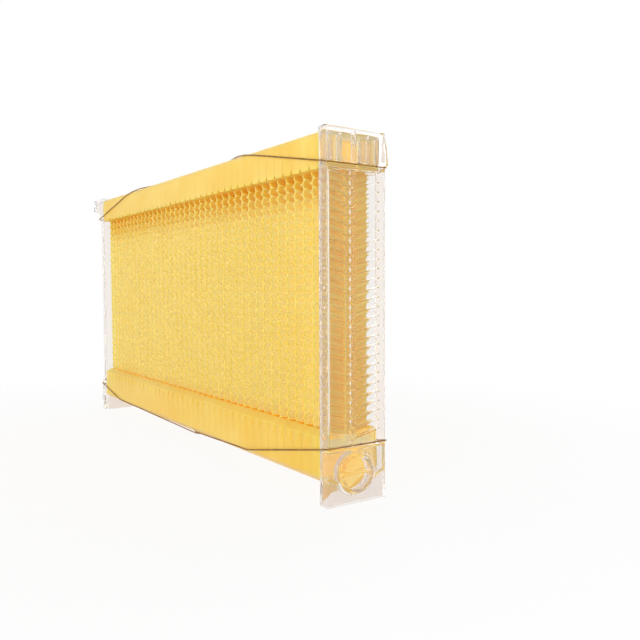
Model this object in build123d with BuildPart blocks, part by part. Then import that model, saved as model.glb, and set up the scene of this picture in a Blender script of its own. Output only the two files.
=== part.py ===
"""Self-draining honeycomb frame.

Yellow comb segments stand in a row between two clear end plates, and two crossed wire loops hold the row
together. Every second leaf of the comb slides up half a cell, which joins the cells into zigzag channels
that drain into a trough and out of the front foot. X runs along the row, towards the outlet, and Z is up.
"""

import os
from math import cos, pi, radians, sin, sqrt, tan

from build123d import *

os.makedirs("parts", exist_ok=True)

# Comb row, in millimetres and degrees
segment_count = 40
segment_pitch = 10.6
cell_rows = 27
cell_tilt = 13.0
fixed_wall = 1.3
leaf_wall = 0.8
fin_root = 1.4
fin_tip = 0.6
frame_width = 46.0
comb_half_depth = 17.0
fixed_midrib = 1.2
leaf_midrib = 0.8
leaf_recess = 4.0
leaf_gap = 0.2
joint_gap = 0.1
segments_per_node = 4

# Trough under the comb
keel_z = 4.4
keel_angle = 30.6
trough_side = 25.0
trough_wall = 2.0
lip_rise = 3.5
lip_thickness = 1.8
comb_sink = 2.0
relief_depth = 0.8
relief_width = 2.4
relief_height = 8.0
tie_bar_width = 2.0
tie_bar_height = 5.0
tie_bar_drop = 0.5

# Top block with its key channel, and the heads of the moving leaves inside it
block_headroom = 0.25
ledge_height = 2.0
head_bar = 2.2
window_height = 5.0
window_width = 9.2
head_post = 2.4
head_thickness = 2.4
head_play = 0.3
stem_width = 8.0
block_skin = 1.4
block_web = 1.2
crown_radius = 5.0
crown_facets = 6
guide_wall = 2.0
side_floor = 4.2
tooth_width = 1.8
tooth_height = 3.0

# End plates
plate_depth = 9.0
flange_wall = 1.6
plate_wall = 1.8
foot_wall = 2.2
foot_height = 36.0
edge_radius = 1.2
tongue_thickness = 3.0
rear_foot_step = 5.0
foot_chamfer = 4.0
lug_length = 19.5
lug_depth = 13.0
lug_roof = 3.0
brace_wall = 2.5
brace_drop = 30.8
wire_notch = 0.8
panel_gap = 0.2
panel_wall = 1.4
rib_reach = 4.3
rib_wall = 0.9
spine_reach = 4.8
spine_width = 1.8

# Key access cap
cap_roof = 1.8
cap_wall = 1.5
cap_bulge = 2.2
cap_setback = 1.3
cap_gap = 0.3
cap_rib = 1.4
clip_width = 8.0
clip_spread = 15.0

# Outlet and its plug
outlet_z = 19.0
bore_radius = 13.3
boss_wall = 1.7
seat_radius = 14.1
seat_depth = 1.3
spout_wall = 1.8
plug_play = 0.3
plug_cup_radius = 10.4
plug_cup_depth = 6.0
grip_bar = 2.0

# Wire loops
wire_diameter = 1.0
wire_play = 0.15
wire_bend = 30.0
lower_wire_rise = 1.5
rear_wire_drop = 7.0
upper_wire_rise = 3.0
ferrule_diameter = 2.2
ferrule_length = 10.0
ferrule_play = 0.1
wire_end_gap = 1.0

# Two edges nearer than this are at the same place
same_place = 0.01

# Sizes that follow from those above
half_width = frame_width / 2
cell_side = segment_pitch / 3
row_height = sqrt(3) * cell_side
half_row = row_height / 2
travel = half_row
swing = cell_side / 4
wall_slope = 2 * swing / half_row
fixed_half = fixed_wall / 2 / cos(radians(30))
leaf_half = leaf_wall / 2 / cos(radians(30))
tilt_slope = tan(radians(cell_tilt))
fin_reach = segment_pitch / 2 - swing - leaf_half - leaf_gap

shoulder_z = keel_z + half_width * tan(radians(keel_angle))
trough_top_z = shoulder_z + trough_side
comb_base_z = trough_top_z - comb_sink
comb_top_z = comb_base_z + cell_rows * row_height
leaf_top_z = comb_top_z - half_row
block_base_z = comb_top_z + comb_half_depth * tilt_slope + block_headroom
ledge_z = block_base_z + ledge_height
head_base_z = ledge_z + head_play
floor_z = head_base_z + head_bar + head_play
head_top_z = head_base_z + 3 * head_bar + 2 * window_height
lower_window_z = head_base_z + head_bar
upper_window_z = lower_window_z + window_height + head_bar
key_width = window_height + travel - head_play
ceiling_z = upper_window_z + key_width
pocket_top_z = head_top_z + travel + head_play
block_top_z = pocket_top_z + block_skin
frame_top_z = block_top_z + cap_roof

stack_length = segment_count * segment_pitch
overall_length = cap_bulge + 2 * plate_depth + stack_length + rear_foot_step + lug_length
front_x = overall_length / 2 - cap_bulge
stack_front_x = front_x - plate_depth
stack_rear_x = stack_front_x - stack_length
rear_x = stack_rear_x - plate_depth
rear_foot_x = rear_x - rear_foot_step
lug_x = rear_foot_x - lug_length
front_seat_x = stack_front_x + joint_gap
rear_seat_x = stack_rear_x - joint_gap

head_half_width = window_width / 2 + head_post
channel_half = head_half_width + head_play
pocket_depth = head_thickness / 2 + head_play
stem_half = stem_width / 2
segment_half = segment_pitch / 2 - joint_gap / 2

lower_wire_z = foot_height + lower_wire_rise
rear_wire_z = foot_height - rear_wire_drop
upper_wire_z = block_base_z + upper_wire_rise
wire_offset = wire_diameter / 2 + wire_play
flange_top_z = upper_wire_z + wire_diameter / 2
cap_base_z = flange_top_z + cap_gap


def block(low, high, mode=Mode.ADD):
    """A box between two corners, in the part being built."""
    size = [b - a for a, b in zip(low, high)]
    centre = tuple((a + b) / 2 for a, b in zip(low, high))
    with Locations(centre):
        Box(*size, mode=mode)


def both_ways(points):
    """A half outline from the middle to the middle, closed by its mirror image."""
    return points + [(-y, z) for y, z in reversed(points) if y > 0]


def leaf_outline(side, wall_half, half_rows, tail=0, fins=False):
    """Outline of one zigzag wall in the XZ plane; fins are the flat cell walls at its corners."""
    left, right = [], []
    for step in range(half_rows + 1):
        z = comb_base_z + step * half_row
        x = side * swing * (1 if step % 2 else -1)
        ends_here = step in (0, half_rows)
        for edge, out in ((left, -1), (right, 1)):
            face = x + out * wall_half
            if fins and not ends_here and x * out > 0:
                root = face - out * wall_slope * fin_root / 2
                tip = out * fin_reach
                edge += [(root, z - fin_root / 2), (tip, z - fin_tip / 2)]
                edge += [(tip, z + fin_tip / 2), (root, z + fin_root / 2)]
            else:
                edge.append((face, z))
    if tail:
        lean = side * wall_slope * tail * (1 if half_rows % 2 == 0 else -1)
        for edge in (left, right):
            x, z = edge[-1]
            edge.append((x + lean, z + tail))
    return right + left[::-1]


def outer_corners(edges, places):
    """Those upright edges that lie on the frame's sides at the given places along the row."""
    on_side = [edge for edge in edges if abs(abs(edge.center().Y) - half_width) < same_place]
    return [edge for edge in on_side if min(abs(edge.center().X - x) for x in places) < same_place]


def save(shape, name):
    """Labels one finished piece and writes its STEP file."""
    shape.label = name
    export_step(shape, f"parts/{name}.step", write_pcurves=False)


# Comb leaf of a fixed segment: zigzag wall, flat cell walls and midrib
leaf_tail = 1.5
fixed_rib = fixed_midrib / 2
with BuildPart() as fixed_comb:
    with BuildSketch(Plane.XZ.offset(fixed_rib)):
        with BuildLine():
            Polyline(*leaf_outline(1, fixed_half, 2 * cell_rows, leaf_tail, fins=True), close=True)
        make_face()
    extrude(amount=(comb_half_depth - fixed_rib) / cos(radians(cell_tilt)), dir=(0, -1, tilt_slope))
    mirror(about=Plane.XZ)
    rib_half = segment_pitch / 4 - leaf_gap / 2
    rib_foot_z = comb_base_z - tie_bar_drop - tie_bar_height / 2
    block((-rib_half, -fixed_rib, rib_foot_z), (rib_half, fixed_rib, ledge_z - block_headroom))

# Fixed segment: top block, comb leaf and trough in one moulding
hollow_y = channel_half + guide_wall
hollow_side_y = half_width - trough_wall
hollow_top_z = block_top_z - trough_wall
hollow_low_z = block_base_z + side_floor
crown_y = half_width - crown_radius
crown_z = block_top_z - crown_radius
crown_turns = [90 * k / crown_facets for k in range(crown_facets + 1)]
crown = [
    (crown_y + crown_radius * cos(radians(turn)), crown_z + crown_radius * sin(radians(turn)))
    for turn in crown_turns
]
lip_y = comb_half_depth + leaf_gap
inner_y = half_width - trough_wall
keel_wall = trough_wall / cos(radians(keel_angle))
lip_fall = lip_rise / (half_width - lip_y)
trough_outline = [
    (0, keel_z),
    (half_width, shoulder_z),
    (half_width, trough_top_z),
    (lip_y, trough_top_z + lip_rise),
    (lip_y, trough_top_z + lip_rise - lip_thickness),
    (inner_y, trough_top_z + lip_fall * trough_wall - lip_thickness),
    (inner_y, keel_z + keel_wall + inner_y * tan(radians(keel_angle))),
    (0, keel_z + keel_wall),
]
trough_mirror = [(-y, z) for y, z in reversed(trough_outline) if y > 0]
with BuildPart() as fixed_segment:
    with BuildSketch(Plane.YZ.offset(-segment_half)):
        with BuildLine():
            Polyline(*both_ways([(half_width, block_base_z)] + crown), close=True)
        make_face()
        with Locations((0, (floor_z + ceiling_z) / 2)):
            Rectangle(2 * channel_half, ceiling_z - floor_z, mode=Mode.SUBTRACT)
    extrude(amount=2 * segment_half)
    for end in (1, -1):
        with BuildSketch(Plane.YZ.offset(end * segment_half)):
            for side in (1, -1):
                hollow = [
                    (hollow_y, hollow_low_z),
                    (hollow_side_y, hollow_low_z),
                    (hollow_side_y, crown_z),
                    (crown_y, hollow_top_z),
                    (hollow_y, hollow_top_z),
                ]
                with BuildLine():
                    Polyline(*[(side * y, z) for y, z in hollow], close=True)
                make_face()
        extrude(amount=-end * (segment_half - block_web / 2), mode=Mode.SUBTRACT)
        pocket = sorted((end * segment_half * 2, end * (segment_pitch / 2 - pocket_depth)))
        wide, narrow = channel_half, stem_half + head_play
        block((pocket[0], -wide, ledge_z), (pocket[1], wide, pocket_top_z), Mode.SUBTRACT)
        block((pocket[0], -narrow, block_base_z - 1), (pocket[1], narrow, ledge_z), Mode.SUBTRACT)
    with BuildSketch(Plane.XZ):
        for end in (1, -1):
            corner = end * segment_pitch / 2
            inner = corner - end * tooth_width
            with BuildLine():
                notch_top = (corner, block_base_z + tooth_height)
                Polyline((inner, block_base_z), (corner, block_base_z), notch_top, close=True)
            make_face()
    extrude(amount=frame_width, both=True, mode=Mode.SUBTRACT)
    with BuildSketch(Plane.YZ.offset(-segment_half)):
        with BuildLine():
            Polyline(*trough_outline, *trough_mirror, close=True)
        make_face()
    extrude(amount=2 * segment_half)
    relief_top = trough_top_z - relief_depth
    for start in (-segment_half, segment_half - relief_width):
        with BuildSketch(Plane.YZ.offset(start)):
            for side in (1, -1):
                relief = [
                    (half_width, relief_top),
                    (half_width - relief_depth, relief_top),
                    (half_width, relief_top - relief_height),
                ]
                with BuildLine():
                    Polyline(*[(side * y, z) for y, z in relief], close=True)
                make_face()
        extrude(amount=relief_width, mode=Mode.SUBTRACT)
    tie_top = comb_base_z - tie_bar_drop
    tie_y = inner_y + trough_wall / 4
    tie_x = tie_bar_width / 2
    block((-tie_x, -tie_y, tie_top - tie_bar_height), (tie_x, tie_y, tie_top))
    add(fixed_comb.part)

# Moving leaf: zigzag wall, midrib, and the stem that carries its head
leaf_rib = leaf_midrib / 2
head_x = head_thickness / 2
with BuildPart() as moving_leaf:
    with BuildSketch(Plane.XZ.offset(leaf_rib)):
        with BuildLine():
            Polyline(*leaf_outline(-1, leaf_half, 2 * cell_rows - 1), close=True)
        make_face()
    leaf_reach = comb_half_depth - leaf_recess - leaf_rib
    extrude(amount=leaf_reach / cos(radians(cell_tilt)), dir=(0, -1, tilt_slope))
    mirror(about=Plane.XZ)
    block((-rib_half, -leaf_rib, comb_base_z), (rib_half, leaf_rib, leaf_top_z))
    block((-head_x, -stem_half, leaf_top_z - half_row), (head_x, stem_half, head_base_z))

# Leaf head, welded on the stem: a ladder with one window for each place of the key
with BuildPart() as leaf_head:
    block((-head_x, -head_half_width, head_base_z), (head_x, head_half_width, head_top_z))
    for sill in (lower_window_z, upper_window_z):
        low = (-head_thickness, -window_width / 2, sill)
        block(low, (head_thickness, window_width / 2, sill + window_height), Mode.SUBTRACT)

fixed_places = [stack_rear_x + (k + 0.5) * segment_pitch for k in range(segment_count)]
leaf_places = [stack_rear_x + k * segment_pitch for k in range(1, segment_count)]
for kind, piece, places in (
    ("fixed_segments", fixed_segment.part.solid(), fixed_places),
    ("comb_leaves", moving_leaf.part.solid(), leaf_places),
    ("leaf_heads", leaf_head.part.solid(), leaf_places),
):
    for first in range(0, len(places), segments_per_node):
        name = f"{kind}_{first // segments_per_node + 1:02d}"
        group = [piece.moved(Location((x, 0, 0))) for x in places[first : first + segments_per_node]]
        save(Compound(children=group), name)

# Front end plate: side flanges, foot with a keeled spout and the outlet, and a tongue with the key opening
with BuildPart() as front_end_plate:
    for side in (1, -1):
        y = sorted((side * half_width, side * (half_width - flange_wall)))
        block((front_seat_x, y[0], 0), (front_x, y[1], flange_top_z))
    block((front_seat_x, -half_width, 0), (front_seat_x + plate_wall, half_width, foot_height))
    block((front_x - foot_wall, -half_width, 0), (front_x, half_width, foot_height))
    block((front_seat_x, -half_width, foot_height - foot_wall), (front_x, half_width, foot_height))
    spout_top = spout_wall / cos(radians(keel_angle))
    spout = [(0, keel_z), (half_width, shoulder_z)]
    spout += [(y, z + spout_top) for y, z in reversed(spout)]
    with BuildSketch(Plane.YZ.offset(front_seat_x)):
        with BuildLine():
            Polyline(*both_ways(spout), close=True)
        make_face()
        with Locations((0, outlet_z)):
            Circle(bore_radius + boss_wall)
    extrude(amount=front_x - front_seat_x)
    with BuildSketch(Plane.YZ.offset(front_seat_x)):
        with Locations((0, outlet_z)):
            Circle(bore_radius)
    extrude(amount=plate_depth, mode=Mode.SUBTRACT)
    with BuildSketch(Plane.YZ.offset(front_x - seat_depth)):
        with Locations((0, outlet_z)):
            Circle(seat_radius)
    extrude(amount=seat_depth, mode=Mode.SUBTRACT)
    block((front_seat_x, -half_width, block_base_z + panel_gap), (front_x, half_width, ledge_z))
    tongue_y = half_width - cap_wall - cap_gap
    tongue_x = front_seat_x + tongue_thickness
    block((front_seat_x, -tongue_y, ledge_z), (tongue_x, tongue_y, block_top_z - cap_gap))
    block((front_seat_x - 1, -channel_half, floor_z), (tongue_x + 1, channel_half, ceiling_z), Mode.SUBTRACT)
    uprights = front_end_plate.edges().filter_by(Axis.Z)
    fillet(outer_corners(uprights, [front_x]), edge_radius)
save(front_end_plate.part, "front_end_plate")

# Rear end plate: the same flanges, a deeper foot, and the lug that hangs in the hive's rebate
inner_x = rear_seat_x - plate_wall
notch_x = rear_foot_x + wire_notch
brace = [
    (inner_x, frame_top_z),
    (lug_x, frame_top_z),
    (lug_x, frame_top_z - lug_depth),
    (rear_foot_x, frame_top_z - lug_depth - foot_wall),
    (rear_foot_x, upper_wire_z + wire_diameter),
    (notch_x, upper_wire_z + wire_diameter),
    (notch_x, upper_wire_z - wire_diameter),
    (rear_x, frame_top_z - brace_drop),
    (inner_x, frame_top_z - brace_drop),
]
with BuildPart() as rear_end_plate:
    block((rear_foot_x, -half_width, 0), (rear_seat_x, half_width, foot_height))
    chamfer(rear_end_plate.edges().filter_by(Axis.Y).sort_by(Axis.Z)[-2:].sort_by(Axis.X)[0], foot_chamfer)
    cavity_y = half_width - foot_wall
    cavity_top = foot_height - foot_chamfer - foot_wall
    block((rear_foot_x + foot_wall, -cavity_y, -1), (inner_x, cavity_y, cavity_top), Mode.SUBTRACT)
    pocket_y = ferrule_length / 2 + wire_play
    pocket_rise = ferrule_diameter / 2 + wire_play
    pocket_x = notch_x - wire_offset + pocket_rise
    for y, rise, bottom_x in ((frame_width, wire_diameter, notch_x), (pocket_y, pocket_rise, pocket_x)):
        low = (rear_foot_x - 1, -y, rear_wire_z - rise)
        block(low, (bottom_x, y, rear_wire_z + rise), Mode.SUBTRACT)
    for side in (1, -1):
        y = sorted((side * half_width, side * (half_width - flange_wall)))
        block((rear_x, y[0], foot_height), (rear_seat_x, y[1], frame_top_z))
        with BuildSketch(Plane.XZ.offset(-side * half_width)):
            with BuildLine():
                Polyline(*brace, close=True)
            make_face()
        extrude(amount=side * brace_wall)
    block((inner_x, -half_width, block_base_z + panel_gap), (rear_seat_x, half_width, frame_top_z))
    block((lug_x, -half_width, frame_top_z - lug_roof), (rear_seat_x, half_width, frame_top_z))
    block((lug_x, -half_width, frame_top_z - lug_depth), (lug_x + foot_wall, half_width, frame_top_z))
    uprights = rear_end_plate.edges().filter_by(Axis.Z)
    fillet(outer_corners(uprights, [rear_x, notch_x]), edge_radius)
save(rear_end_plate.part, "rear_end_plate")

# Window panels: a clear wall with a spine, one at each end; the front one has sloping half-cell ribs too
panel_y = half_width - flange_wall - panel_gap
panel_low_z = foot_height + panel_gap
rib_y = panel_y - rib_wall
panels = (("front_window_panel", front_seat_x, 1, cell_rows + 1), ("rear_window_panel", rear_seat_x, -1, 0))
for name, seat, way, rib_count in panels:
    wall_x = seat + way * (panel_gap + panel_wall)
    with BuildPart() as panel:
        ends = sorted((seat + way * panel_gap, wall_x))
        block((ends[0], -panel_y, panel_low_z), (ends[1], panel_y, block_base_z))
        ends = sorted((wall_x, wall_x + way * spine_reach))
        block((ends[0], -spine_width / 2, panel_low_z), (ends[1], spine_width / 2, block_base_z))
        if rib_count:
            with BuildSketch(Plane.YZ.offset(wall_x)):
                for rib in range(rib_count):
                    z = comb_base_z + rib * row_height
                    for side in (1, -1):
                        rise = rib_y * tilt_slope
                        with BuildLine():
                            Polyline(
                                (0, z),
                                (side * rib_y, z + rise),
                                (side * rib_y, z + rise - rib_wall),
                                (0, z - rib_wall),
                                close=True,
                            )
                        make_face()
                with Locations((0, (panel_low_z + block_base_z) / 2)):
                    Rectangle(2 * panel_y, block_base_z - panel_low_z, mode=Mode.INTERSECT)
            extrude(amount=way * rib_reach)
    save(panel.part, name)

# Key access cap: a bowed clear shell with two clips and a middle rib inside its front
cap_rear_x = stack_front_x + joint_gap + panel_gap
cap_front_x = front_x - cap_setback
cap_mid_x = (cap_front_x + front_x + cap_bulge) / 2 + cap_setback / 2
cap_mid_z = (cap_base_z + frame_top_z) / 2
with BuildPart() as key_access_cap:
    with BuildSketch(Plane.XZ):
        with BuildLine():
            Polyline((cap_rear_x, cap_base_z), (cap_rear_x, frame_top_z), (cap_front_x, frame_top_z))
            Polyline((front_x + cap_bulge, cap_base_z), (cap_rear_x, cap_base_z))
            ThreePointArc(
                (cap_front_x, frame_top_z),
                (cap_mid_x, cap_mid_z),
                (front_x + cap_bulge, cap_base_z),
            )
        make_face()
    extrude(amount=half_width, both=True)
    roof_z = frame_top_z - cap_roof
    with BuildSketch(Plane.XZ):
        with BuildLine():
            Polyline((cap_rear_x - 1, cap_base_z), (cap_rear_x - 1, roof_z), (cap_front_x - cap_wall, roof_z))
            Polyline((front_x + cap_bulge - cap_wall, cap_base_z), (cap_rear_x - 1, cap_base_z))
            ThreePointArc(
                (cap_front_x - cap_wall, roof_z),
                (cap_mid_x - cap_wall, cap_mid_z),
                (front_x + cap_bulge - cap_wall, cap_base_z),
            )
        make_face()
    extrude(amount=half_width - cap_wall, both=True, mode=Mode.SUBTRACT)
    rib_back_x = front_seat_x + tongue_thickness + cap_gap
    rib_front_x = cap_front_x - cap_wall / 2
    clip_low = cap_base_z + cap_wall
    clip_high = roof_z - cap_wall
    for side in (-1, 1):
        for leg in (-1, 1):
            y = side * clip_spread + leg * (clip_width - cap_rib) / 2
            block((rib_back_x, y - cap_rib / 2, clip_low), (rib_front_x, y + cap_rib / 2, clip_high))
        clip_y = sorted(side * clip_spread + leg * clip_width / 2 for leg in (-1, 1))
        block((rib_back_x, clip_y[0], clip_high - cap_rib), (rib_front_x, clip_y[1], clip_high))
    block((rib_back_x, -cap_rib / 2, clip_low), (rib_front_x, cap_rib / 2, roof_z))
    fillet(key_access_cap.edges().filter_by(Axis.Y).sort_by(Axis.Z)[-1], cap_wall / 2)
save(key_access_cap.part, "key_access_cap")

# Outlet plug: a cup with a rim and a grip bar
plug_back_x = front_seat_x + joint_gap
with BuildPart() as outlet_plug:
    for start, end, radius in (
        (plug_back_x, front_x, bore_radius - plug_play),
        (front_x - seat_depth + joint_gap, front_x, seat_radius - plug_play),
    ):
        with BuildSketch(Plane.YZ.offset(start)):
            with Locations((0, outlet_z)):
                Circle(radius)
        extrude(amount=end - start)
    cup_x = front_x - plug_cup_depth
    with BuildSketch(Plane.YZ.offset(cup_x)):
        with Locations((0, outlet_z)):
            Circle(plug_cup_radius)
    extrude(amount=plug_cup_depth, mode=Mode.SUBTRACT)
    bar_y = plug_cup_radius + plug_play
    bar_z = grip_bar / 2
    block((cup_x, -bar_y, outlet_z - bar_z), (front_x - plug_play, bar_y, outlet_z + bar_z))
save(outlet_plug.part, "outlet_plug")


# Wire loops: each crosses the row twice, so its two long strands pass at the middle
def even_shares(section):
    """Share of a taut wire's run at each point of the outline that it crosses."""
    lengths = [0.0]
    for a, b in zip(section, section[1:]):
        lengths.append(lengths[-1] + sqrt((b[0] - a[0]) ** 2 + (b[1] - a[1]) ** 2))
    return [length / lengths[-1] for length in lengths]


def loop_route(section, over, rear_run_x):
    """Corner points of one taut loop and the bend radius at each; over lifts the second strand's middle."""
    shares = even_shares(section)
    front_run_x = front_x + wire_offset
    run = front_run_x - rear_run_x
    before, after = len(section) // 2, (len(section) + 1) // 2
    middle = (shares[before] + shares[after - 1]) / 2
    lifted = section[:before] + [over] + section[after:]
    lifted_shares = shares[:before] + [middle] + shares[after:]
    first = [(front_run_x - run * share, y, z) for share, (y, z) in zip(shares, section)][::-1]
    second = [(front_run_x - run * share, -y, z) for share, (y, z) in zip(lifted_shares, lifted)]
    end_y, end_z = wire_end_gap / 2, section[-1][1]
    points = [(rear_run_x, end_y, end_z), *first, *second, (rear_run_x, -end_y, end_z)]
    corner = edge_radius + wire_offset
    tight = [1, len(first), len(first) + 1, len(first) + len(second)]
    return points, [corner if k in tight else wire_bend for k in range(1, len(points) - 1)]


side_y = half_width + wire_offset
crown_out = (crown_radius + wire_offset) / cos(radians(15))
crown_side = [
    (-crown_y - crown_out * cos(radians(turn)), crown_z + crown_out * sin(radians(turn)))
    for turn in (15, 45, 75)
]
upper_half = [(-side_y, upper_wire_z)] + crown_side
upper_section = upper_half + [(-y, z) for y, z in reversed(upper_half)]
keel_out = wire_offset / cos(radians(keel_angle))
shoulder_out_z = keel_z - keel_out + side_y * tan(radians(keel_angle))
lower_front = [(-side_y, lower_wire_z), (-side_y, shoulder_out_z)]
lower_rear = [(side_y, shoulder_out_z), (side_y, rear_wire_z)]
lower_section = lower_front + [(0, keel_z - keel_out)] + lower_rear
crossing = wire_diameter + wire_play
over_crown = (0, block_top_z + wire_offset + crossing)
under_keel = (0, keel_z - keel_out - crossing)
rear_run_x = notch_x - wire_offset
for name, section, over in (
    ("upper_wire", upper_section, over_crown),
    ("lower_wire", lower_section, under_keel),
):
    points, bends = loop_route(section, over, rear_run_x)
    with BuildPart() as wire:
        with BuildLine() as route:
            FilletPolyline(*points, radius=bends)
        with BuildSketch(Plane(origin=route.line @ 0, z_dir=route.line % 0)):
            Circle(wire_diameter / 2)
        sweep()
    length = sum(edge.length for edge in route.edges())
    share = wire.part.volume / (pi * wire_diameter**2 / 4 * length)
    print(f"{name}: length {length:.1f} mm, volume {share:.3f} of section times length")
    save(wire.part, name)
    with BuildPart() as ferrule:
        with BuildSketch(Plane.XZ.offset(-ferrule_length / 2)):
            with Locations((rear_run_x, section[-1][1])):
                Circle(ferrule_diameter / 2)
                Circle(wire_diameter / 2 + ferrule_play, mode=Mode.SUBTRACT)
        extrude(amount=ferrule_length)
    save(ferrule.part, f"{name}_ferrule")
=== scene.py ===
"""Looks of the self-draining honeycomb frame.

Moulded yellow comb, clear end mouldings and drawn steel wire, on a plain white stage.
"""

import math

import bmesh
import bpy
from bpy.props import FloatProperty, FloatVectorProperty, PointerProperty, StringProperty
from mathutils import Matrix, Vector


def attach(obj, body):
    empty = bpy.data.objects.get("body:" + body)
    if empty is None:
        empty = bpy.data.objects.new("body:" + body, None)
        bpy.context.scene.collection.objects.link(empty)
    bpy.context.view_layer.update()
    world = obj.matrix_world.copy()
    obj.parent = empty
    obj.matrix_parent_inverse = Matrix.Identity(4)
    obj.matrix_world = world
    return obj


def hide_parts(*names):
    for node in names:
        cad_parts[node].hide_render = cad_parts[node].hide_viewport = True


bl_info = {
    "name": "Honeycomb frame looks",
    "version": (1, 0, 0),
    "blender": (4, 5, 0),
    "location": "View3D > Sidebar > Honeycomb frame",
    "description": "Finishes the comb, clear ends and wires of a self-draining honeycomb frame",
    "category": "Object",
}

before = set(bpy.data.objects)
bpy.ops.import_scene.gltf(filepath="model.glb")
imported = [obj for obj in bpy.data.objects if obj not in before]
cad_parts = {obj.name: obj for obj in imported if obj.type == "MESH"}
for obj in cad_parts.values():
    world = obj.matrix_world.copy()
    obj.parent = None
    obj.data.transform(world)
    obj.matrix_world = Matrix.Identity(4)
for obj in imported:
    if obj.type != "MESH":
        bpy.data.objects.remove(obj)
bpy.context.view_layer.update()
MM = 0.001

# The CAD nodes by finish; a clear node is listed with the body that it rides on
SEGMENT_NODES = sorted(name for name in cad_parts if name.startswith("fixed_segments"))
LEAF_NODES = sorted(
    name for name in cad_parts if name.startswith(("comb_leaves", "leaf_heads"))
)
CLEAR_NODES = {
    "front_end_plate": "frame",
    "rear_end_plate": "frame",
    "front_window_panel": "frame",
    "rear_window_panel": "frame",
    "key_access_cap": "key_cap",
    "outlet_plug": "plug",
}
WIRE_NODES = ("upper_wire", "lower_wire", "upper_wire_ferrule", "lower_wire_ferrule")

# A segment's edges are rounded on its top block and on the outer faces of its trough
TOP_BAND_Z = 209.5 * MM
LOW_BAND_Z = 47.5 * MM
BAND_FACE_Y = 16.9 * MM

# The copies of the CAD meshes: doubles merged, flat faces joined, real edges rounded
MERGE_DISTANCE = 0.002 * MM
FLAT_ANGLE = math.radians(0.5)
EDGE_ANGLE = math.radians(30)
ROUNDING_STEPS = 2
COMB_SHARP_ANGLE = math.radians(20)
CLEAR_SHARP_ANGLE = math.radians(40)

# Painted light on the cell walls: pale between the bands, behind the rims and short of the front
# end; painted shade keeps them deeper in colour for some way under the top band and at the front
# end
CELLS_LOW_Z = 48.0 * MM
CELLS_TOP_Z = 208.5 * MM
CELLS_END_X = 217.0 * MM
CELLS_FADE = 2.0 * MM
PAINTED_SHADE_UNDER_BAND = 26.0 * MM
RIM_Y = 17.0 * MM
RIM_DEPTH = 1.5 * MM

# Painted light on the inner walls of the trough and of the top block, within the outer skin and
# over the keel; painted shade keeps the trough's inner walls deep at the front end and the
# block's low down, so the block is paler towards its top
TROUGH_TOP_Z = 43.0 * MM
PAINTED_SHADE_END_X = 222.0 * MM
BLOCK_LOW_Z = 211.0 * MM
BLOCK_TOP_Z = 221.0 * MM
BLOCK_SHARE = 0.85
INSIDE_Y = 20.8 * MM
INSIDE_TOP_Z = 232.4 * MM
INSIDE_LOW_Z = 5.2 * MM
SKIN_FADE = 1.2 * MM
KEEL_SLOPE = math.tan(math.radians(30.6))

# Sizes of the patterns in the finishes, and the noise values that end a pattern's two tones
FLOW_MARK = 35.7 * MM
FLOW_TONES = (0.35, 0.68)
SPARK_GRAIN = 0.5 * MM
SPARK_DEPTH = 0.05 * MM
WAX_DEPTH = 4.0 * MM
SINK_WAVE = 9.0 * MM
SINK_DEPTH = 0.2 * MM
DULL_PATCH = 6.0 * MM
DULL_TONES = (0.3, 0.75)

# Sockets of a Mix node that mixes colours
MIX_SHARE = 0
MIX_FIRST = 6
MIX_SECOND = 7
MIX_RESULT = 2

# The stage in metres: near the object the paper shows its shadow, further off it is plain white
FLOOR_HALF = 6.0
SHADOW_REACH = 0.22
WHITE_REACH = 0.55
WHITE_SHARE_NEAR = 0.9
WHITE = "#FFFFFF"
ROOM_LIGHT = 0.45
BACKDROP_LIGHT = 1.0
SENSOR_WIDTH_MM = 36.0
LAMP_AIM = Vector((0.0, 0.0, 0.12))
# Each lamp's name, place, side in metres and power in watts
LAMPS = (
    ("key_softbox", (0.5, -1.35, 0.45), 1.2, 12.4),
    ("end_softbox", (1.5, 0.5, 0.9), 1.0, 2.6),
    ("back_softbox", (-0.9, 1.0, 1.2), 1.2, 8.5),
)


def linear(hex_colour):
    """An sRGB hex colour as linear red, green, blue and alpha."""
    parts = [int(hex_colour[k : k + 2], 16) / 255 for k in (1, 3, 5)]
    return [c / 12.92 if c <= 0.04045 else ((c + 0.055) / 1.055) ** 2.4 for c in parts] + [1.0]


def add_node(tree, kind, inputs=None, **settings):
    """Adds one shader node; an input is a value or another node's output socket."""
    made = tree.nodes.new(kind)
    for key, value in settings.items():
        setattr(made, key, value)
    for key, value in (inputs or {}).items():
        if isinstance(value, bpy.types.NodeSocket):
            tree.links.new(value, made.inputs[key])
        else:
            made.inputs[key].default_value = value
    return made


def new_material(name):
    """An empty node material with its output node."""
    material = bpy.data.materials.new(name)
    material.use_nodes = True
    material.node_tree.nodes.clear()
    return material, material.node_tree, material.node_tree.nodes.new("ShaderNodeOutputMaterial")


def region(tree, limits, most=1.0):
    """The share of a region, from 0 outside to most inside, with smooth borders.

    Each limit is a value, where the region's border starts on it and where the border ends.
    """
    share = most
    for value, start, end in limits:
        border = add_node(
            tree,
            "ShaderNodeMapRange",
            {"Value": value, "From Min": start, "From Max": end},
            interpolation_type="SMOOTHSTEP",
        )
        within = add_node(
            tree,
            "ShaderNodeMath",
            {0: share, 1: border.outputs["Result"]},
            operation="MULTIPLY",
        )
        share = within.outputs[0]
    return share


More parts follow.
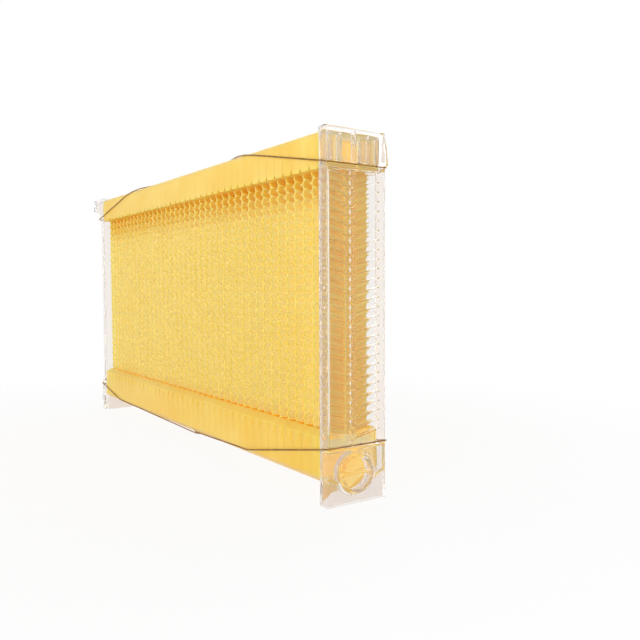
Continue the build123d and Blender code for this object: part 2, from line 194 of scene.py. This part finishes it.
def painted_light_share(tree, place):
    """The share of the comb painted pale as painted light: cell walls and the inner walls of the
    row, with painted shade kept under the top band and at the front end.
    """
    split = add_node(tree, "ShaderNodeSeparateXYZ", {0: place}).outputs
    along, height = split["X"], split["Z"]
    side = add_node(tree, "ShaderNodeMath", {0: split["Y"]}, operation="ABSOLUTE").outputs[0]
    keel = add_node(tree, "ShaderNodeMath", {0: side, 1: KEEL_SLOPE}, operation="MULTIPLY")
    over_keel = add_node(
        tree, "ShaderNodeMath", {0: height, 1: keel.outputs[0]}, operation="SUBTRACT"
    )
    cells = region(
        tree,
        [
            (height, CELLS_LOW_Z - CELLS_FADE, CELLS_LOW_Z),
            # Painted shade: the cells keep the deeper yellow for some way under the top band
            (height, CELLS_TOP_Z, CELLS_TOP_Z - PAINTED_SHADE_UNDER_BAND),
            # Painted shade: the cells keep the deeper yellow at the front end
            (along, CELLS_END_X, CELLS_END_X - CELLS_FADE),
            (side, RIM_Y, RIM_Y - RIM_DEPTH),
        ],
    )
    trough = region(
        tree,
        [
            (height, TROUGH_TOP_Z, TROUGH_TOP_Z - SKIN_FADE),
            # Painted shade: the trough's inner walls keep the deeper yellow at the front end
            (along, PAINTED_SHADE_END_X, PAINTED_SHADE_END_X - CELLS_FADE),
        ],
    )
    # Painted light: the top block's inner walls are paler towards the top and deeper low down
    block = region(tree, [(height, BLOCK_LOW_Z, BLOCK_TOP_Z)], BLOCK_SHARE)
    either = add_node(tree, "ShaderNodeMath", {0: trough, 1: block}, operation="MAXIMUM")
    inside = region(
        tree,
        [
            (side, INSIDE_Y + SKIN_FADE, INSIDE_Y),
            (height, INSIDE_TOP_Z + SKIN_FADE, INSIDE_TOP_Z),
            (over_keel.outputs[0], INSIDE_LOW_Z, INSIDE_LOW_Z + SKIN_FADE),
        ],
        either.outputs[0],
    )
    # The pale share is painted light in the cells and in the hollows of the trough and top block
    thin = add_node(tree, "ShaderNodeMath", {0: cells, 1: inside}, operation="MAXIMUM")
    return thin.outputs[0]


def moulded_polypropylene(finish):
    """Polypropylene from a fine-spark mould.

    Waxy, slightly see-through yellow with a soft sheen and faint flow marks.
    """
    material, tree, output = new_material("moulded polypropylene")
    place = add_node(tree, "ShaderNodeTexCoord").outputs["Object"]
    flow = add_node(
        tree,
        "ShaderNodeTexNoise",
        {"Vector": place, "Scale": 1 / FLOW_MARK, "Detail": 2.0, "Roughness": 0.5},
    )
    tint = add_node(tree, "ShaderNodeValToRGB", {"Fac": flow.outputs["Fac"]})
    tones = (finish.comb_deep, finish.comb_pale)
    for stop, position, tone in zip(tint.color_ramp.elements, FLOW_TONES, tones):
        stop.position = position
        stop.color = linear(tone)
    # Painted light: the cell walls and the walls inside the row are painted paler, for the light
    # that comes through them; painted shade keeps the walls near the top block deep, and the
    # rims, seen end-on, keep the plastic's deeper yellow
    colour = add_node(
        tree,
        "ShaderNodeMix",
        {
            MIX_SHARE: painted_light_share(tree, place),
            MIX_FIRST: tint.outputs["Color"],
            MIX_SECOND: linear(finish.comb_painted_light),
        },
        data_type="RGBA",
    )
    # The spark texture is drawn coarser than the real grit, so that it shows
    grit = add_node(
        tree, "ShaderNodeTexNoise", {"Vector": place, "Scale": 1 / SPARK_GRAIN, "Detail": 1.0}
    )
    bump = add_node(
        tree,
        "ShaderNodeBump",
        {"Height": grit.outputs["Fac"], "Strength": 0.08, "Distance": SPARK_DEPTH},
    )
    shader = add_node(
        tree,
        "ShaderNodeBsdfPrincipled",
        {
            "Base Color": colour.outputs[MIX_RESULT],
            "Roughness": 0.42,
            "IOR": 1.49,
            "Specular IOR Level": 0.3,
            "Subsurface Weight": 1.0,
            "Subsurface Radius": (1.0, 1.0, 1.0),
            "Subsurface Scale": WAX_DEPTH,
            "Normal": bump.outputs["Normal"],
        },
    )
    # Part of the lamps' light comes through each wall, as it does through waxy plastic
    path = add_node(tree, "ShaderNodeLightPath")
    through = add_node(
        tree, "ShaderNodeBsdfTransparent", {"Color": linear(finish.comb_through)}
    )
    mixed = add_node(
        tree,
        "ShaderNodeMixShader",
        {
            "Fac": path.outputs["Is Shadow Ray"],
            1: shader.outputs["BSDF"],
            2: through.outputs["BSDF"],
        },
    )
    tree.links.new(mixed.outputs[0], output.inputs["Surface"])
    return material


def clear_polycarbonate(finish):
    """Clear moulded polycarbonate.

    Glossy and faintly warm, with shallow sink waves that bend the reflections.
    """
    material, tree, output = new_material("clear polycarbonate")
    place = add_node(tree, "ShaderNodeTexCoord").outputs["Object"]
    sink = add_node(
        tree, "ShaderNodeTexNoise", {"Vector": place, "Scale": 1 / SINK_WAVE, "Detail": 1.0}
    )
    bump = add_node(
        tree,
        "ShaderNodeBump",
        {"Height": sink.outputs["Fac"], "Strength": 0.12, "Distance": SINK_DEPTH},
    )
    # The IOR is matched to the object, below the 1.58 that is typical of polycarbonate
    shader = add_node(
        tree,
        "ShaderNodeBsdfPrincipled",
        {
            "Base Color": linear(finish.clear_tint),
            "Roughness": 0.06,
            "IOR": 1.3,
            "Transmission Weight": 0.95,
            "Normal": bump.outputs["Normal"],
        },
    )
    # Lamp light and light between the pieces goes straight through, as through thin clear walls
    path = add_node(tree, "ShaderNodeLightPath")
    passing = add_node(
        tree,
        "ShaderNodeMath",
        {0: path.outputs["Is Shadow Ray"], 1: path.outputs["Is Diffuse Ray"]},
        operation="MAXIMUM",
    )
    straight = add_node(
        tree, "ShaderNodeBsdfTransparent", {"Color": linear(finish.clear_straight)}
    )
    mixed = add_node(
        tree,
        "ShaderNodeMixShader",
        {"Fac": passing.outputs[0], 1: shader.outputs["BSDF"], 2: straight.outputs["BSDF"]},
    )
    tree.links.new(mixed.outputs[0], output.inputs["Surface"])
    return material


def drawn_steel(finish):
    """Drawn steel wire.

    Dulled to brown, with darker and lighter patches of a few millimetres from handling.
    """
    material, tree, output = new_material("drawn steel wire")
    place = add_node(tree, "ShaderNodeTexCoord").outputs["Object"]
    dull = add_node(
        tree, "ShaderNodeTexNoise", {"Vector": place, "Scale": 1 / DULL_PATCH, "Detail": 3.0}
    )
    tint = add_node(tree, "ShaderNodeValToRGB", {"Fac": dull.outputs["Fac"]})
    tones = (finish.wire_dark, finish.wire_light)
    for stop, position, tone in zip(tint.color_ramp.elements, DULL_TONES, tones):
        stop.position = position
        stop.color = linear(tone)
    shader = add_node(
        tree,
        "ShaderNodeBsdfPrincipled",
        {"Base Color": tint.outputs["Color"], "Metallic": 1.0, "Roughness": 0.38},
    )
    tree.links.new(shader.outputs["BSDF"], output.inputs["Surface"])
    return material


def seen_directly(tree):
    """1 for rays that show the background, straight or by way of gloss or clear plastic."""
    path = add_node(tree, "ShaderNodeLightPath")
    seen = path.outputs["Is Camera Ray"]
    for kind in ("Is Glossy Ray", "Is Transmission Ray"):
        either = add_node(
            tree, "ShaderNodeMath", {0: seen, 1: path.outputs[kind]}, operation="MAXIMUM"
        )
        seen = either.outputs[0]
    return seen


def give(piece, material):
    """Makes one material the piece's only one."""
    piece.data.materials.clear()
    piece.data.materials.append(material)


def add_object(name, data):
    """A new object in the scene, at the origin."""
    made = bpy.data.objects.new(name, data)
    bpy.context.collection.objects.link(made)
    return made


def add_mesh_object(name, mesh):
    """A new object from a finished bmesh, which is freed."""
    data = bpy.data.meshes.new(name)
    mesh.to_mesh(data)
    mesh.free()
    return add_object(name, data)


def softened_copy(node, name, width, wanted, sharp_angle):
    """A copy of a CAD node as a new piece, with flat faces joined and wanted edges rounded."""
    mesh = bmesh.new()
    mesh.from_mesh(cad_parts[node].data)
    bmesh.ops.remove_doubles(mesh, verts=mesh.verts, dist=MERGE_DISTANCE)
    bmesh.ops.dissolve_limit(
        mesh,
        angle_limit=FLAT_ANGLE,
        use_dissolve_boundaries=False,
        verts=mesh.verts,
        edges=mesh.edges,
    )
    edges = [
        edge
        for edge in mesh.edges
        if edge.is_manifold and edge.calc_face_angle(0) > EDGE_ANGLE and wanted(edge)
    ]
    bmesh.ops.bevel(
        mesh,
        geom=edges,
        offset=width,
        offset_type="OFFSET",
        affect="EDGES",
        segments=ROUNDING_STEPS,
        profile=0.5,
        material=-1,
        clamp_overlap=True,
    )
    piece = add_mesh_object(name, mesh)
    piece.data.shade_smooth()
    piece.data.set_sharp_from_angle(angle=sharp_angle)
    return piece


def on_band(edge):
    """True for an edge of the smooth top block or of the trough's outer faces."""
    for vert in edge.verts:
        y, z = abs(vert.co.y), vert.co.z
        if not (z > TOP_BAND_Z or (z < LOW_BAND_Z and y > BAND_FACE_Y)):
            return False
    return True


def on_clear(edge):
    """True for every edge, because a clear moulding is rounded all over."""
    return True


class HoneycombFinish(bpy.types.PropertyGroup):
    """Colours and edge sizes that a user would change."""

    comb_deep: StringProperty(
        name="Comb, deep",
        description="Deeper yellow of the comb plastic",
        default="#EECC58",
    )
    comb_pale: StringProperty(
        name="Comb, pale",
        description="Paler yellow of the comb plastic",
        default="#F0D66D",
    )
    # Painted light: the paler yellow painted on the cell walls and inner walls for the light that
    # comes through them
    comb_painted_light: StringProperty(
        name="Comb, thin",
        description="Yellow of the thin cell walls",
        default="#FCF4B8",
    )
    comb_through: StringProperty(
        name="Comb, through",
        description="What one face of a comb wall leaves of the light",
        default="#FAF3D6",
    )
    clear_tint: StringProperty(
        name="Clear tint",
        description="Tint of the clear plastic",
        default="#F6F1ED",
    )
    clear_straight: StringProperty(
        name="Clear, straight",
        description="What one face of a clear wall leaves of the light through it",
        default="#FEFDFD",
    )
    wire_dark: StringProperty(
        name="Wire, dark",
        description="Darker tone of the wire",
        default="#7A5526",
    )
    wire_light: StringProperty(
        name="Wire, light",
        description="Lighter tone of the wire",
        default="#B98F4E",
    )
    floor_colour: StringProperty(
        name="Floor",
        description="Colour of the floor",
        default="#F4F4F4",
    )
    comb_edge: FloatProperty(
        name="Comb edge",
        description="Rounding of the segments' outer edges",
        default=0.1 * MM,
        unit="LENGTH",
    )
    clear_edge: FloatProperty(
        name="Clear edge",
        description="Rounding of the clear mouldings' edges",
        default=0.3 * MM,
        unit="LENGTH",
    )


class HoneycombView(bpy.types.PropertyGroup):
    """Camera of the still picture."""

    eye: FloatVectorProperty(
        name="Eye",
        description="Place of the camera",
        default=(0.58285, -0.26861, 0.1385),
        subtype="TRANSLATION",
    )
    azimuth: FloatProperty(
        name="Azimuth",
        description="Turn of the camera round the frame",
        default=math.radians(55.6),
        subtype="ANGLE",
    )
    elevation: FloatProperty(
        name="Elevation",
        description="Angle by which the camera looks down",
        default=math.radians(2.83),
        subtype="ANGLE",
    )
    roll: FloatProperty(
        name="Roll",
        description="Tilt of the camera",
        default=math.radians(-0.27),
        subtype="ANGLE",
    )
    lens: FloatProperty(
        name="Lens",
        description="Focal length for a 36 mm sensor, in millimetres",
        default=39.51,
        unit="CAMERA",
    )


class HONEYCOMB_OT_comb(bpy.types.Operator):
    """Finishes the fixed segments and the moving leaves of the comb"""

    bl_idname = "honeycomb.comb"
    bl_label = "Comb"

    def execute(self, context):
        finish = context.scene.honeycomb_finish
        plastic = moulded_polypropylene(finish)
        for node in SEGMENT_NODES:
            piece = softened_copy(
                node, node + "_moulding", finish.comb_edge, on_band, COMB_SHARP_ANGLE
            )
            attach(piece, "frame")
            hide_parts(node)
            give(piece, plastic)
        for node in LEAF_NODES:
            give(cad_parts[node], plastic)
        return {"FINISHED"}


class HONEYCOMB_OT_clear(bpy.types.Operator):
    """Finishes the clear end plates, window panels, key cap and outlet plug"""

    bl_idname = "honeycomb.clear"
    bl_label = "Clear mouldings"

    def execute(self, context):
        finish = context.scene.honeycomb_finish
        plastic = clear_polycarbonate(finish)
        for node, body in CLEAR_NODES.items():
            piece = softened_copy(
                node, node + "_moulding", finish.clear_edge, on_clear, CLEAR_SHARP_ANGLE
            )
            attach(piece, body)
            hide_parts(node)
            give(piece, plastic)
        return {"FINISHED"}


class HONEYCOMB_OT_wires(bpy.types.Operator):
    """Finishes the two wire loops and their ferrules"""

    bl_idname = "honeycomb.wires"
    bl_label = "Wires"

    def execute(self, context):
        steel = drawn_steel(context.scene.honeycomb_finish)
        for node in WIRE_NODES:
            give(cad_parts[node], steel)
        return {"FINISHED"}


class HONEYCOMB_OT_stage(bpy.types.Operator):
    """Builds the floor, the light and the camera"""

    bl_idname = "honeycomb.stage"
    bl_label = "Stage"

    def execute(self, context):
        scene = context.scene
        self.lay_floor(scene)
        self.set_lights(scene)
        self.set_camera(scene)
        scene.view_settings.view_transform = "Standard"
        # Light crosses many thin walls of waxy and clear plastic before it comes out again
        scene.cycles.max_bounces = 48
        scene.cycles.diffuse_bounces = 12
        scene.cycles.glossy_bounces = 32
        scene.cycles.transmission_bounces = 32
        scene.cycles.transparent_max_bounces = 32
        return {"FINISHED"}

    def lay_floor(self, scene):
        """Lays a sheet of matt paper that catches a faint shadow and turns white further off."""
        material, tree, output = new_material("matt white paper")
        shader = add_node(
            tree,
            "ShaderNodeBsdfPrincipled",
            {"Base Color": linear(scene.honeycomb_finish.floor_colour), "Roughness": 0.9},
        )
        place = add_node(tree, "ShaderNodeTexCoord").outputs["Object"]
        away = add_node(tree, "ShaderNodeVectorMath", {0: place}, operation="LENGTH")
        fade = add_node(
            tree,
            "ShaderNodeMapRange",
            {
                "Value": away.outputs["Value"],
                "From Min": SHADOW_REACH,
                "From Max": WHITE_REACH,
                "To Min": WHITE_SHARE_NEAR,
            },
            interpolation_type="SMOOTHSTEP",
        )
        seen = add_node(
            tree,
            "ShaderNodeMath",
            {0: fade.outputs["Result"], 1: seen_directly(tree)},
            operation="MULTIPLY",
        )
        white = add_node(
            tree, "ShaderNodeEmission", {"Color": linear(WHITE), "Strength": BACKDROP_LIGHT}
        )
        mixed = add_node(
            tree,
            "ShaderNodeMixShader",
            {"Fac": seen.outputs[0], 1: shader.outputs["BSDF"], 2: white.outputs["Emission"]},
        )
        tree.links.new(mixed.outputs[0], output.inputs["Surface"])
        mesh = bmesh.new()
        bmesh.ops.create_grid(mesh, x_segments=1, y_segments=1, size=FLOOR_HALF)
        floor = add_mesh_object("floor", mesh)
        give(floor, material)

    def set_lights(self, scene):
        """Sets a soft room light under a white backdrop, and three softboxes."""
        world = bpy.data.worlds.new("white studio")
        world.use_nodes = True
        tree = world.node_tree
        tree.nodes.clear()
        soft = add_node(
            tree, "ShaderNodeBackground", {"Color": linear(WHITE), "Strength": ROOM_LIGHT}
        )
        white = add_node(
            tree, "ShaderNodeBackground", {"Color": linear(WHITE), "Strength": BACKDROP_LIGHT}
        )
        mixed = add_node(
            tree,
            "ShaderNodeMixShader",
            {"Fac": seen_directly(tree), 1: soft.outputs[0], 2: white.outputs[0]},
        )
        output = tree.nodes.new("ShaderNodeOutputWorld")
        tree.links.new(mixed.outputs[0], output.inputs["Surface"])
        scene.world = world
        for name, place, side, power in LAMPS:
            lamp = bpy.data.lights.new(name, "AREA")
            lamp.shape = "SQUARE"
            lamp.size = side
            lamp.energy = power
            holder = add_object(name, lamp)
            holder.location = place
            holder.rotation_euler = (LAMP_AIM - Vector(place)).to_track_quat("-Z", "Y").to_euler()

    def set_camera(self, scene):
        """Sets the camera where the still picture is taken from."""
        look = scene.honeycomb_view
        back = Vector(
            (
                math.sin(look.azimuth) * math.cos(look.elevation),
                -math.cos(look.azimuth) * math.cos(look.elevation),
                math.sin(look.elevation),
            )
        )
        level = Vector((math.cos(look.azimuth), math.sin(look.azimuth), 0))
        upright = back.cross(level)
        right = math.cos(look.roll) * level + math.sin(look.roll) * upright
        up = math.cos(look.roll) * upright - math.sin(look.roll) * level
        lens = bpy.data.cameras.new("camera")
        lens.lens = look.lens
        lens.sensor_width = SENSOR_WIDTH_MM
        camera = add_object("camera", lens)
        turn = Matrix((right, up, back)).transposed().to_4x4()
        camera.matrix_world = Matrix.Translation(Vector(look.eye)) @ turn
        scene.camera = camera


class HONEYCOMB_PT_panel(bpy.types.Panel):
    """Lists the finish settings and the steps"""

    bl_idname = "HONEYCOMB_PT_panel"
    bl_label = "Honeycomb frame"
    bl_space_type = "VIEW_3D"
    bl_region_type = "UI"
    bl_category = "Honeycomb frame"

    def draw(self, context):
        for settings in (context.scene.honeycomb_finish, context.scene.honeycomb_view):
            for key in settings.bl_rna.properties.keys():
                if key not in ("rna_type", "name"):
                    self.layout.prop(settings, key)
        for step in STEPS:
            self.layout.operator(step.bl_idname)


STEPS = (HONEYCOMB_OT_comb, HONEYCOMB_OT_clear, HONEYCOMB_OT_wires, HONEYCOMB_OT_stage)
CLASSES = (HoneycombFinish, HoneycombView, *STEPS, HONEYCOMB_PT_panel)


def register():
    """Adds the classes and the settings to Blender."""
    for kind in CLASSES:
        bpy.utils.register_class(kind)
    bpy.types.Scene.honeycomb_finish = PointerProperty(type=HoneycombFinish)
    bpy.types.Scene.honeycomb_view = PointerProperty(type=HoneycombView)


def unregister():
    """Takes the settings and the classes out again."""
    del bpy.types.Scene.honeycomb_view
    del bpy.types.Scene.honeycomb_finish
    for kind in reversed(CLASSES):
        bpy.utils.unregister_class(kind)


def main():
    """Runs the steps in order."""
    register()
    bpy.ops.honeycomb.comb()
    bpy.ops.honeycomb.clear()
    bpy.ops.honeycomb.wires()
    bpy.ops.honeycomb.stage()


if __name__ == "__main__":
    main()
